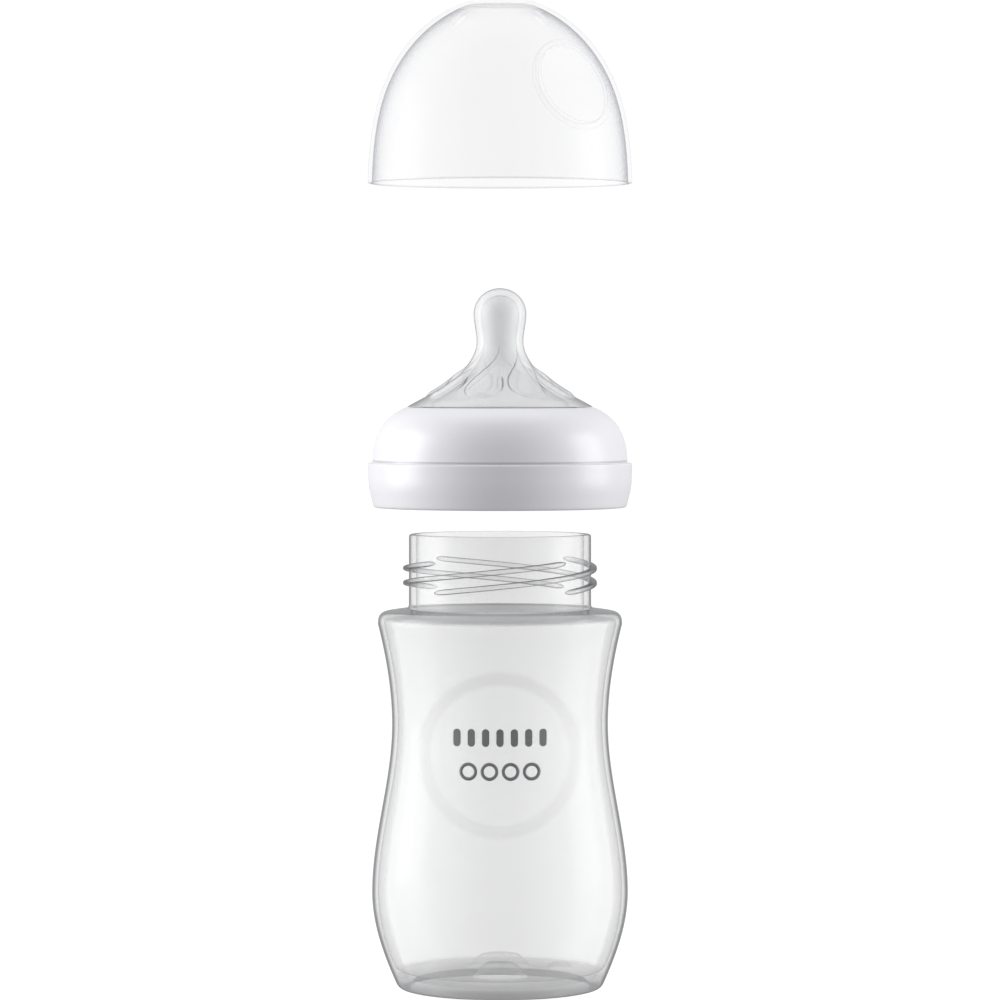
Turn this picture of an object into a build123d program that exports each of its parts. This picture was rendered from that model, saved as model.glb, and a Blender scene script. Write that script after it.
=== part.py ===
from build123d import *
import os
from math import cos, radians, sin

# A baby's feeding bottle on one upright axis: a moulded bottle with a threaded neck, a silicone teat
# held in a screw ring, and a clear cap. Millimetres, +Z up, foot on Z = 0, front towards -Y.
# The teat and its ring stand lifted off the neck, and the cap stands lifted off the ring.

# ---- Driving dimensions: bottle ----
foot_radius = 26.9
bulge_radius = 33.95
waist_radius = 28.65
shoulder_overhang = 8.2
shoulder_round = 2.8
shoulder_slope = 1.2
foot_to_bulge = 25.5
bulge_to_waist = 44.5
waist_to_shoulder = 26.5
shoulder_to_neck = 4.3
body_wall = 1.5
neck_radius = 24.2
neck_height = 19.6
neck_wall = 1.9
base_thickness = 2.4
base_recess = 2.2
base_rise = 1.0
foot_ring_width = 2.9
gate_dome_radius = 8.5
gate_dome_height = 3.4
pip_radius = 3.7
pip_height = 1.6
pip_offset = 16.0
medallion_radius = 20.6
medallion_depth = 0.6
medallion_level = 64.0

# ---- Driving dimensions: screw thread, right-handed with four starts ----
thread_starts = 4
thread_lead = 15.6
thread_wrap = 180.0
thread_depth = 1.6
thread_width = 1.7
thread_draft = 0.25
thread_top_drop = 7.1
thread_embed = 0.4
stub_inset = 0.03
first_start_angle = 45.0
ring_thread_width = 1.5
ring_thread_start = 2.2
thread_clearance = 0.35
bore_clearance = 0.5

# ---- Driving dimensions: ring ----
ring_band_height = 11.8
ring_band_wall = 1.9
ring_band_taper = 1.5
ring_dome_rise = 14.8
ring_dome_radius = 14.2
ring_ledge_width = 1.3
ring_dome_overhang = 7.5
ring_flange = 3.5
ring_lip_slope = 1.6
ring_thread_wall = 2.0
ring_top_wall = 1.9

# ---- Driving dimensions: teat ----
teat_groove_inset = 4.1
teat_lip_overhang = 4.6
teat_cone_height = 17.4
teat_cone_waist_radius = 9.7
teat_cone_waist_height = 9.9
teat_throat_radius = 6.2
teat_bulb_radius = 7.0
teat_throat_to_bulb = 7.3
teat_bulb_to_tip = 6.8
teat_wall = 1.9
teat_flange = 2.0
teat_skirt_drop = 4.9
teat_skirt_wall = 1.1
teat_skirt_flare = 1.5
teat_hole_radius = 0.4

# ---- Driving dimensions: cap ----
cap_wall = 1.1
cap_height = 48.4
cap_crown_radius = 9.0
cap_crown_recess = 0.6
cap_side_inset = 4.35
cap_side_height = 26.4
cap_high_inset = 15.55
cap_high_height = 42.2
dimple_radius = 12.3
dimple_depth = 1.0
dimple_level = 26.0
dimple_azimuth = -48.0
dimple_tilt = 24.0
dimple_floor_radius = 75.0
vent_length = 4.5
vent_width = 1.5
vent_ring_radius = 15.6

# ---- Clearances and how far the pieces stand apart ----
seat_clearance = 0.1
slip_clearance = 0.25
ring_lift = 26.4
cap_lift = 74.1

# ---- Levels and radii that follow ----
shoulder_radius = neck_radius + shoulder_overhang
waist_level = foot_to_bulge + bulge_to_waist
shoulder_level = waist_level + waist_to_shoulder
neck_root = shoulder_level + shoulder_to_neck
rim_level = neck_root + neck_height
inner_neck_radius = neck_radius - neck_wall
floor_level = base_recess + base_thickness
crest_radius = neck_radius + thread_depth
thread_pitch = thread_lead / thread_starts
thread_rise = thread_lead * thread_wrap / 360
thread_start_level = rim_level - thread_top_drop - thread_rise

teat_groove_radius = neck_radius - teat_groove_inset
teat_seat = rim_level + ring_lift + seat_clearance
flange_top = teat_seat + teat_flange
ring_hole_radius = teat_groove_radius + slip_clearance
ring_hole_top = flange_top + seat_clearance + ring_flange
ring_top = ring_hole_top + ring_lip_slope
ring_bottom = ring_top - ring_dome_rise - ring_band_height
ring_ledge = ring_bottom + ring_band_height
teat_lip = ring_top + seat_clearance
lip_radius = teat_groove_radius + teat_lip_overhang
bore_radius = crest_radius + bore_clearance
skirt_top_radius = bore_radius
skirt_radius = skirt_top_radius + teat_skirt_flare
skirt_bottom = teat_seat - teat_skirt_drop
cavity_radius = skirt_radius + slip_clearance
cavity_floor = skirt_bottom - slip_clearance
thread_wall_radius = bore_radius + ring_thread_wall
ledge_inner_radius = bore_radius + ring_dome_overhang
band_radius = ledge_inner_radius + ring_ledge_width

cap_bottom = ring_ledge + seat_clearance + cap_lift
cap_inner_radius = ledge_inner_radius + slip_clearance
cap_radius = cap_inner_radius + cap_wall


def round_corners(sketch, corners, radius):
    """Round the outline corners that lie nearest to the given (radius, height) points."""
    for corner in corners:
        fillet(sketch.vertices().sort_by_distance(corner + (0,))[0], radius)


def thread_angle(level):
    """Azimuth, in degrees, at which the first neck ridge's helix crosses a height."""
    return first_start_angle + 360 * (level - thread_start_level) / thread_lead


def thread_ridge(root_radius, height, width, level):
    """One ridge of the thread; a negative height stands inwards from a bore."""
    embed = -thread_embed if height > 0 else thread_embed
    crest_width = width - 2 * thread_draft
    with BuildPart() as ridge:
        with BuildLine(Plane.XY.offset(level)) as path:
            Helix(thread_lead, thread_rise, root_radius)
        with BuildSketch(Plane(path.line @ 0, x_dir=(1, 0, 0), z_dir=path.line % 0)):
            with BuildLine():
                Polyline(
                    (embed, -width / 2),
                    (height, -crest_width / 2),
                    (height, crest_width / 2),
                    (embed, width / 2),
                    close=True,
                )
            make_face()
        sweep(is_frenet=True)
    return ridge.part


def ridge_ends(root_radius, height, width, level):
    """The rounded stubs that close both ends of a ridge, a hair inside its crest and flanks."""
    embed = -thread_embed if height > 0 else thread_embed
    outwards = 1 if height > 0 else -1
    with BuildPart() as stubs:
        for turned, end_level in ((0, level), (thread_wrap, level + thread_rise)):
            ray = Vector(cos(radians(turned)), sin(radians(turned)), 0)
            foot = ray * (root_radius + embed) + Vector(0, 0, end_level)
            with Locations(Plane(foot, z_dir=ray * outwards)):
                Cone(
                    width / 2 - stub_inset,
                    width / 2 - stub_inset - thread_draft,
                    abs(height - embed) - stub_inset,
                    align=(Align.CENTER, Align.CENTER, Align.MIN),
                )
    return stubs.part


def body_outline(inset, low, high):
    """Outline of the bottle's body between two levels of its wall, moved in by a wall thickness."""
    foot = (foot_radius - inset + low, low)
    bulge = (bulge_radius - inset, foot_to_bulge)
    waist = (waist_radius - inset, waist_level)
    shoulder = (shoulder_radius - inset, shoulder_level)
    Spline(foot, bulge, tangents=[(0.42, 0.9), (0, 1)])
    Spline(bulge, waist, tangents=[(0, 1), (0, 1)])
    Spline(waist, shoulder, tangents=[(0, 1), (0.25, 1)])
    return foot, (shoulder_radius - inset, high)


def medallion_floor(inset):
    """Round column through the front wall, less the body moved in: what the medallion removes."""
    with BuildPart() as sunk:
        with BuildSketch(Plane.XZ):
            with Locations((0, medallion_level)):
                Circle(medallion_radius + inset)
        extrude(amount=bulge_radius + body_wall)
        with BuildSketch(Plane.XZ):
            with BuildLine():
                foot, top = body_outline(inset + medallion_depth, 0, shoulder_level)
                Polyline(top, (0, top[1]), (0, 0), foot)
            make_face()
        revolve(axis=Axis.Z, mode=Mode.SUBTRACT)
    return sunk.part


# ---- Bottle ----
shoulder_corner = neck_root - shoulder_slope
with BuildPart() as bottle:
    with BuildSketch(Plane.XZ) as outside:
        with BuildLine():
            foot, top = body_outline(0, 0, shoulder_corner)
            Polyline(
                (shoulder_radius, shoulder_level),
                top,
                (neck_radius, neck_root),
                (neck_radius, rim_level),
                (0, rim_level),
                (0, 0),
                foot,
            )
        make_face()
        round_corners(outside, [top], shoulder_round)
        round_corners(outside, [(neck_radius, neck_root)], 1.2)
        round_corners(outside, [(neck_radius, rim_level)], 0.7)
        round_corners(outside, [foot], 1.6)
    revolve(axis=Axis.Z)
    add(medallion_floor(0), mode=Mode.SUBTRACT)

with BuildPart() as hollow:
    inner_corner = shoulder_corner - 1.2 * body_wall
    floor_corner = foot_radius - body_wall + 0.45 * floor_level
    with BuildSketch(Plane.XZ) as inside:
        with BuildLine():
            bulge = (bulge_radius - body_wall, foot_to_bulge)
            waist = (waist_radius - body_wall, waist_level)
            shoulder = (shoulder_radius - body_wall, shoulder_level)
            Spline((floor_corner, floor_level), bulge, tangents=[(0.42, 0.9), (0, 1)])
            Spline(bulge, waist, tangents=[(0, 1), (0, 1)])
            Spline(waist, shoulder, tangents=[(0, 1), (0.25, 1)])
            Polyline(
                shoulder,
                (shoulder[0], inner_corner),
                (inner_neck_radius, inner_corner + 0.9),
                (inner_neck_radius, rim_level),
                (0, rim_level),
                (0, floor_level + base_rise),
                (floor_corner, floor_level),
            )
        make_face()
        round_corners(inside, [(shoulder[0], inner_corner)], 1.2)
        round_corners(inside, [(inner_neck_radius, inner_corner + 0.9)], 1.0)
        round_corners(inside, [(floor_corner, floor_level)], 2.2)
    revolve(axis=Axis.Z)
    add(medallion_floor(body_wall), mode=Mode.SUBTRACT)
    with BuildSketch(Plane.XZ):
        with BuildLine():
            Polyline(
                (0, 0),
                (gate_dome_radius, 0),
                (gate_dome_radius, floor_level + base_rise),
                (gate_dome_radius - gate_dome_height, floor_level + base_rise + gate_dome_height),
                (0, floor_level + base_rise + gate_dome_height),
                close=True,
            )
        make_face()
    revolve(axis=Axis.Z, mode=Mode.SUBTRACT)
    with BuildSketch(Plane.XY.offset(floor_level - base_thickness)):
        with Locations((pip_offset, 0)):
            Circle(pip_radius)
    extrude(amount=base_thickness + base_rise / 2 + pip_height, taper=12, mode=Mode.SUBTRACT)

with BuildPart() as under:
    dome_top = base_recess + base_rise + gate_dome_height
    inner_dome = gate_dome_radius - base_thickness / 2
    with BuildSketch(Plane.XZ) as recess:
        with BuildLine():
            Polyline(
                (0, 0),
                (foot_radius - foot_ring_width, 0),
                (foot_radius - foot_ring_width - base_recess / 2, base_recess),
                (inner_dome, base_recess + base_rise),
                (inner_dome - gate_dome_height, dome_top),
                (0, dome_top),
                close=True,
            )
        make_face()
    revolve(axis=Axis.Z)

neck_thread = (neck_radius, thread_depth, thread_width, thread_start_level)
neck_ridge = thread_ridge(*neck_thread)
neck_ridge_ends = ridge_ends(*neck_thread)

with bottle:
    with PolarLocations(0, thread_starts, start_angle=first_start_angle):
        add(neck_ridge)
    with PolarLocations(0, thread_starts, start_angle=first_start_angle):
        add(neck_ridge_ends)
    add(hollow.part, mode=Mode.SUBTRACT)
    add(under.part, mode=Mode.SUBTRACT)
    lip = bottle.edges().filter_by(GeomType.CIRCLE).filter_by_position(Axis.Z, rim_level, rim_level)
    chamfer(lip.sort_by(SortBy.RADIUS)[0], 0.4)

# ---- Teat ----
bulb_level = teat_lip + teat_cone_height + teat_throat_to_bulb
throat_level = teat_lip + teat_cone_height
tip_level = bulb_level + teat_bulb_to_tip
inner_groove = teat_groove_radius - teat_wall


def teat_outline(inset):
    """Nipple and cone from the lip up to the tip, moved in by a wall thickness."""
    slope_drop = 1.2 * inset
    lip = (lip_radius, teat_lip - slope_drop)
    cone = (teat_cone_waist_radius - 0.9 * inset, teat_lip + teat_cone_waist_height - 0.6 * inset)
    throat = (teat_throat_radius - inset, throat_level)
    bulb = (teat_bulb_radius - inset, bulb_level)
    tip = (0, tip_level - inset)
    Spline(lip, cone, throat, tangents=[(-1, 0.58), (0, 1)])
    Spline(throat, bulb, tangents=[(0, 1), (0, 1)])
    Spline(bulb, tip, tangents=[(0, 1), (-1, 0)])
    return lip, tip


with BuildPart() as teat:
    with BuildSketch(Plane.XZ) as silhouette:
        with BuildLine():
            lip, tip = teat_outline(0)
            Polyline(
                tip,
                (0, teat_seat),
                (inner_groove, teat_seat),
                (skirt_top_radius - teat_skirt_wall, teat_seat),
                (skirt_radius - teat_skirt_wall, skirt_bottom),
                (skirt_radius, skirt_bottom),
                (skirt_top_radius, flange_top),
                (teat_groove_radius, flange_top),
                (teat_groove_radius, ring_hole_top + seat_clearance),
                lip,
            )
        make_face()
        round_corners(silhouette, [(skirt_top_radius, flange_top)], 0.8)
        round_corners(silhouette, [(skirt_radius, skirt_bottom)], 0.4)
    revolve(axis=Axis.Z)
    with BuildSketch(Plane.XZ) as milk_space:
        with BuildLine():
            lip, tip = teat_outline(teat_wall)
            Polyline(tip, (0, lip[1]), lip)
        make_face()
        with BuildLine():
            Polyline(
                (inner_groove, teat_seat - teat_skirt_drop),
                (inner_groove, teat_lip + teat_cone_height),
                (lip_radius + 1, teat_lip + teat_cone_height),
                (lip_radius + 1, teat_seat - teat_skirt_drop),
                close=True,
            )
        make_face(mode=Mode.SUBTRACT)
        with BuildLine():
            Polyline(
                (0, teat_seat - 1),
                (inner_groove, teat_seat - 1),
                (inner_groove, teat_lip - 0.4),
                (0, teat_lip - 0.4),
                close=True,
            )
        make_face()
    revolve(axis=Axis.Z, mode=Mode.SUBTRACT)
    with BuildSketch(Plane.XY.offset(tip_level - 2 * teat_wall)):
        Circle(teat_hole_radius)
    extrude(amount=3 * teat_wall, mode=Mode.SUBTRACT)

# ---- Ring ----
dome_start = ring_top - ring_dome_rise + 1.6
ridge_angle = thread_angle(ring_bottom + ring_thread_start + thread_pitch / 2)
ridge_height = neck_radius + thread_clearance - bore_radius
ring_thread = (bore_radius, ridge_height, ring_thread_width, ring_bottom + ring_thread_start)
ring_ridge = thread_ridge(*ring_thread)
ring_ridge_ends = ridge_ends(*ring_thread)

with BuildPart() as ring:
    with BuildSketch(Plane.XZ) as section:
        with BuildLine():
            RadiusArc((lip_radius + 0.2, ring_top), (ledge_inner_radius, dome_start), ring_dome_radius)
            Polyline(
                (ledge_inner_radius, dome_start),
                (ledge_inner_radius, ring_ledge),
                (band_radius, ring_ledge),
                (band_radius - 0.1, ring_bottom + ring_band_height / 2),
                (band_radius - ring_band_taper, ring_bottom),
                (bore_radius, ring_bottom),
                (bore_radius, cavity_floor),
                (cavity_radius, cavity_floor),
                (skirt_top_radius + slip_clearance, flange_top + seat_clearance),
                (ring_hole_radius, flange_top + seat_clearance),
                (ring_hole_radius, ring_hole_top),
                (lip_radius + 0.2, ring_top),
            )
        make_face()
        round_corners(section, [(band_radius - ring_band_taper, ring_bottom)], 1.0)
        round_corners(section, [(bore_radius, ring_bottom)], 0.5)
        round_corners(section, [(band_radius - 0.1, ring_bottom + ring_band_height / 2)], 12)
        round_corners(section, [(band_radius, ring_ledge)], 0.3)
    revolve(axis=Axis.Z)
    with BuildSketch(Plane.XY.offset(ring_bottom)):
        Circle(band_radius - ring_band_wall - ring_band_taper)
        Circle(thread_wall_radius, mode=Mode.SUBTRACT)
    extrude(amount=ring_band_height - ring_top_wall, mode=Mode.SUBTRACT)
    with PolarLocations(0, thread_starts, start_angle=ridge_angle):
        add(ring_ridge)
    with PolarLocations(0, thread_starts, start_angle=ridge_angle):
        add(ring_ridge_ends)

# ---- Cap ----
cap_top = cap_bottom + cap_height


def cap_solid(inset):
    """The cap's dome as a solid block, moved in by a wall thickness."""
    with BuildPart() as dome:
        with BuildSketch(Plane.XZ):
            with BuildLine():
                rim = (cap_radius - inset, cap_bottom)
                side = (cap_radius - cap_side_inset - inset, cap_bottom + cap_side_height - 0.2 * inset)
                high_inset = 0.75 * inset
                high = (cap_radius - cap_high_inset - high_inset, cap_bottom + cap_high_height - high_inset)
                crown = (cap_crown_radius, cap_top - inset)
                Spline(rim, side, high, crown, tangents=[(-0.03, 1), (-1, 0.42)])
                Polyline(crown, (0, cap_top - inset), (0, cap_bottom), rim)
            make_face()
        revolve(axis=Axis.Z)
    return dome.part


aim = Vector(cos(radians(dimple_azimuth)), sin(radians(dimple_azimuth)), 0)
outward = aim * cos(radians(dimple_tilt)) + Vector(0, 0, sin(radians(dimple_tilt)))
dimple_face = aim * (cap_radius - cap_side_inset) + Vector(0, 0, cap_bottom + dimple_level)
dome_rise = dimple_radius**2 / (2 * cap_radius)
dimple_floor = dimple_face - outward * (dome_rise + dimple_depth)
dimple_centre = dimple_floor + outward * dimple_floor_radius

with BuildPart() as cap_inside:
    add(cap_solid(cap_wall))
    with Locations(dimple_centre):
        Sphere(dimple_floor_radius + cap_wall, mode=Mode.SUBTRACT)

with BuildPart() as cap:
    add(cap_solid(0))
    with Locations(dimple_centre):
        Sphere(dimple_floor_radius, mode=Mode.SUBTRACT)
    add(cap_inside.part, mode=Mode.SUBTRACT)
    with BuildSketch(Plane.XY.offset(cap_top)):
        Circle(cap_crown_radius - 1.2)
    extrude(amount=-cap_crown_recess, mode=Mode.SUBTRACT)
    with BuildSketch(Plane.XY.offset(cap_top)):
        with PolarLocations(vent_ring_radius, thread_starts, start_angle=first_start_angle):
            SlotOverall(vent_length, vent_width)
    extrude(amount=-8 * cap_wall, mode=Mode.SUBTRACT)

os.makedirs("parts", exist_ok=True)
for name, piece in (("bottle", bottle), ("teat", teat), ("ring", ring), ("cap", cap)):
    piece.part.label = name
    export_step(piece.part, f"parts/{name}.step")
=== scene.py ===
"""Looks of a clear baby bottle with its screw ring, silicone teat and dome cap."""

import logging
import math
from dataclasses import dataclass
from enum import Enum

import bpy
import numpy as np
from mathutils import Matrix, Vector

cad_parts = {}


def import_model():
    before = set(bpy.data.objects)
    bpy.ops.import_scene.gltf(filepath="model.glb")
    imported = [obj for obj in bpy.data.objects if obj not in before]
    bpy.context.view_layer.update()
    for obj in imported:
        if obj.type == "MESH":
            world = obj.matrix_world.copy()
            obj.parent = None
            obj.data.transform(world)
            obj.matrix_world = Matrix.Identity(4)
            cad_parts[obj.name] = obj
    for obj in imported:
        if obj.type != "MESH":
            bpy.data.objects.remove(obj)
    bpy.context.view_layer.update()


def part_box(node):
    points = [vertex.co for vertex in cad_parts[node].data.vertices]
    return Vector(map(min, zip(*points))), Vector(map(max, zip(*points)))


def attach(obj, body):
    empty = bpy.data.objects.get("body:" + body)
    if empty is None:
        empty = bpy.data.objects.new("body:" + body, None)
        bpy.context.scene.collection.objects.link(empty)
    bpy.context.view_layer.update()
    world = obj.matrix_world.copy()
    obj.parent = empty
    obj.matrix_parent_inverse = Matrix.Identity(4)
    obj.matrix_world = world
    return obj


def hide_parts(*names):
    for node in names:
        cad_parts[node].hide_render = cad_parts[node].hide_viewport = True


LOG = logging.getLogger("baby_bottle")
MM = 0.001

Point = tuple[float, float]
Colour = tuple[float, float, float, float]


# ---------------------------------------------------------------- outlines and turned meshes
def curve_through(points: list[Point], leave: Point, arrive: Point, steps: int) -> list[Point]:
    """Smooth curve through points, with a given direction at each end.

    Args:
        points: The points the curve passes, in order.
        leave: Direction at the first point.
        arrive: Direction at the last point.
        steps: Samples on each span.

    Returns:
        The sampled points, with both ends.
    """
    knots = np.array(points, float)
    gaps = np.linalg.norm(np.diff(knots, axis=0), axis=1)
    count = len(knots)
    system = np.eye(count)
    slopes = np.zeros((count, 2))
    slopes[0] = np.array(leave) / np.linalg.norm(leave)
    slopes[-1] = np.array(arrive) / np.linalg.norm(arrive)
    for i in range(1, count - 1):
        before, after = gaps[i - 1], gaps[i]
        system[i, i - 1 : i + 2] = (1 / before, 2 / before + 2 / after, 1 / after)
        slopes[i] = 3 * ((knots[i] - knots[i - 1]) / before**2 + (knots[i + 1] - knots[i]) / after**2)
    slopes = np.linalg.solve(system, slopes)
    out: list[Point] = [tuple(knots[0])]
    for i, gap in enumerate(gaps):
        for t in np.linspace(0, 1, steps + 1)[1:]:
            p = (2 * t**3 - 3 * t**2 + 1) * knots[i] + (3 * t**2 - 2 * t**3) * knots[i + 1]
            p = p + gap * ((t**3 - 2 * t**2 + t) * slopes[i] + (t**3 - t**2) * slopes[i + 1])
            out.append((float(p[0]), float(p[1])))
    return out


class Outline:
    """A closed outline of (radius, height) points in millimetres, turned about the upright axis."""

    def __init__(self) -> None:
        """Starts with no points."""
        self.points: list[Point] = []
        self.reach: list[float] = []

    def to(self, radius: float, height: float, soft: float = 0.0) -> "Outline":
        """Adds a corner.

        Args:
            radius: Distance from the axis.
            height: Height of the corner.
            soft: How far back from the corner, each way, its rounding starts.

        Returns:
            The outline itself.
        """
        self.points.append((radius, height))
        self.reach.append(soft)
        return self

    def through(self, points: list[Point], leave: Point, arrive: Point, steps: int = 24,
                soft: tuple[float, float] = (0.0, 0.0)) -> "Outline":
        """Adds a smooth run through points.

        Args:
            points: The points it passes, ends included.
            leave: Direction at its start.
            arrive: Direction at its end.
            steps: Samples on each span.
            soft: Rounding at its first and last point.

        Returns:
            The outline itself.
        """
        run = curve_through(points, leave, arrive, steps)
        for i, (radius, height) in enumerate(run):
            self.to(max(radius, 0.0), height, soft[0] if i == 0 else soft[1] if i == len(run) - 1 else 0.0)
        return self

    def rounded(self, gap: float) -> list[Point]:
        """Rounds the soft corners and splits long runs.

        Args:
            gap: Longest run between two points.

        Returns:
            The points, in order round the outline.
        """
        pts = [Vector(p) for p in self.points]
        count = len(pts)
        keep: list[list[Vector]] = [[p] for p in pts]
        for i, reach in enumerate(self.reach):
            if reach <= 0:
                continue
            ends = []
            for way in (-1, 1):
                left, j = reach, i
                while True:
                    k = (j + way) % count
                    span = (pts[k] - pts[j]).length
                    if span >= left:
                        ends.append(pts[j].lerp(pts[k], left / span))
                        break
                    left -= span
                    keep[k] = []
                    j = k
            a, b = ends
            keep[i] = [a.lerp(pts[i], t).lerp(pts[i].lerp(b, t), t) for t in (n / 6 for n in range(7))]
        flat = [p for group in keep for p in group]
        out: list[Point] = []
        for a, b in zip(flat, flat[1:] + flat[:1]):
            span = (b - a).length
            if span < 1e-6:
                continue
            parts = max(1, math.ceil(span / gap)) if max(a.x, b.x) > 1e-6 else 1
            for n in range(parts):
                p = a.lerp(b, n / parts)
                out.append((p.x, p.y))
        return out


def turned(outline: list[Point], segments: int) -> tuple[np.ndarray, list[tuple[int, ...]]]:
    """Turns an outline about the upright axis into a closed shell.

    Args:
        outline: Points round the outline, in millimetres.
        segments: Steps round the axis.

    Returns:
        The vertices, in metres, and the faces.
    """
    angles = np.arange(segments) * 2 * math.pi / segments
    verts: list[np.ndarray] = []
    rows: list[list[int]] = []
    total = 0
    for radius, height in outline:
        if radius < 1e-4:
            verts.append(np.array([[0.0, 0.0, height]]))
            rows.append([total] * segments)
            total += 1
        else:
            ring = np.stack([radius * np.cos(angles), radius * np.sin(angles), np.full(segments, height)], 1)
            verts.append(ring)
            rows.append(list(range(total, total + segments)))
            total += segments
    faces: list[tuple[int, ...]] = []
    for low, high in zip(rows, rows[1:] + rows[:1]):
        if low[0] == low[1] and high[0] == high[1]:
            continue
        for i in range(segments):
            j = (i + 1) % segments
            loop = [low[i], low[j], high[j], high[i]]
            faces.append(tuple(dict.fromkeys(loop)))
    return np.concatenate(verts) * MM, faces


def as_object(name: str, verts: np.ndarray, faces: list[tuple[int, ...]],
              crease: float = 38.0) -> bpy.types.Object:
    """Makes a smooth-shaded object of vertices and faces, with its faces turned outwards.

    Args:
        name: The object's name.
        verts: Vertices, in metres.
        faces: Vertex numbers of each face.
        crease: Angle in degrees over which an edge stays sharp.

    Returns:
        The object, linked into the scene.
    """
    mesh = bpy.data.meshes.new(name)
    mesh.from_pydata([tuple(v) for v in verts], [], faces)
    mesh.update()
    if signed_volume(verts, faces) < 0:
        mesh.flip_normals()
    mesh.shade_smooth()
    mesh.set_sharp_from_angle(angle=math.radians(crease))
    mark_inner_face(mesh)
    thing = bpy.data.objects.new(name, mesh)
    bpy.context.collection.objects.link(thing)
    return thing


def signed_volume(verts: np.ndarray, faces: list[tuple[int, ...]]) -> float:
    """Volume inside a closed mesh; below nought where its faces point inwards."""
    total = 0.0
    for size in (3, 4):
        loops = np.array([f for f in faces if len(f) == size])
        if len(loops) == 0:
            continue
        for k in range(1, size - 1):
            a, b, c = verts[loops[:, 0]], verts[loops[:, k]], verts[loops[:, k + 1]]
            total += float(np.einsum("ij,ij->i", a, np.cross(b, c)).sum()) / 6
    return total


def mark_inner_face(mesh: bpy.types.Mesh) -> None:
    """Stores a point value that is 1 where the wall faces the axis and 0 where it faces out."""
    spots = np.array([v.co for v in mesh.vertices])
    normals = np.array([n.vector for n in mesh.vertex_normals])
    low, high = spots[:, 2].min(), spots[:, 2].max()
    middle = spots.copy()
    middle[:, :2] = 0
    middle[:, 2] = np.clip(spots[:, 2], low + 0.3 * (high - low), high - 0.3 * (high - low))
    inner = (np.einsum("ij,ij->i", normals, spots - middle) < 0).astype(np.float32)
    mesh.attributes.new("inner", "FLOAT", "POINT").data.foreach_set("value", inner)


def smooth_step(low: float, high: float, value: np.ndarray) -> np.ndarray:
    """Rises from 0 to 1 with level ends as value goes from low to high."""
    t = np.clip((value - low) / (high - low), 0, 1)
    return t * t * (3 - 2 * t)


# ---------------------------------------------------------------- node trees
class Wire:
    """A node's output, on which Python's operators add Math nodes."""

    def __init__(self, tree: bpy.types.NodeTree, socket: bpy.types.NodeSocket) -> None:
        """Keeps the tree and the socket."""
        self.tree = tree
        self.socket = socket

    def math(self, operation: str, *others: "Wire | float") -> "Wire":
        """Adds one Math node.

        Args:
            operation: The node's operation.
            others: Its second and third values.

        Returns:
            The result.
        """
        return combine(self.tree, operation, (self, *others))

    def __add__(self, other: "Wire | float") -> "Wire":
        """self + other."""
        return self.math("ADD", other)

    def __radd__(self, other: "Wire | float") -> "Wire":
        """other + self."""
        return self.math("ADD", other)

    def __sub__(self, other: "Wire | float") -> "Wire":
        """self - other."""
        return self.math("SUBTRACT", other)

    def __rsub__(self, other: float) -> "Wire":
        """other - self."""
        return combine(self.tree, "SUBTRACT", (other, self))

    def __mul__(self, other: "Wire | float") -> "Wire":
        """self * other."""
        return self.math("MULTIPLY", other)

    def __rmul__(self, other: float) -> "Wire":
        """other * self."""
        return self.math("MULTIPLY", other)

    def __truediv__(self, other: "Wire | float") -> "Wire":
        """self / other."""
        return self.math("DIVIDE", other)

    def __pow__(self, other: "Wire | float") -> "Wire":
        """self ** other."""
        return self.math("POWER", other)

    def __abs__(self) -> "Wire":
        """abs(self)."""
        return self.math("ABSOLUTE")

    def between(self, low: float, high: float) -> "Wire":
        """0 at low and 1 at high, with level ends."""
        node = self.tree.nodes.new("ShaderNodeMapRange")
        node.interpolation_type = "SMOOTHSTEP"
        feed(self.tree, node.inputs["Value"], self)
        node.inputs["From Min"].default_value = low
        node.inputs["From Max"].default_value = high
        return Wire(self.tree, node.outputs["Result"])


Feed = "Wire | float | int | bool | tuple | bpy.types.ID | bpy.types.NodeSocket"


def feed(tree: bpy.types.NodeTree, socket: bpy.types.NodeSocket, value: Feed) -> None:
    """Links a wire or a socket to a socket, or sets its value."""
    if isinstance(value, Wire):
        tree.links.new(value.socket, socket)
    elif isinstance(value, bpy.types.NodeSocket):
        tree.links.new(value, socket)
    else:
        socket.default_value = value


def combine(tree: bpy.types.NodeTree, operation: str, values: tuple) -> Wire:
    """Adds one Math node to a tree.

    Args:
        tree: The tree.
        operation: The node's operation.
        values: Its values, in order.

    Returns:
        The result.
    """
    node = tree.nodes.new("ShaderNodeMath")
    node.operation = operation
    for socket, value in zip(node.inputs, values):
        feed(tree, socket, value)
    return Wire(tree, node.outputs[0])


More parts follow.
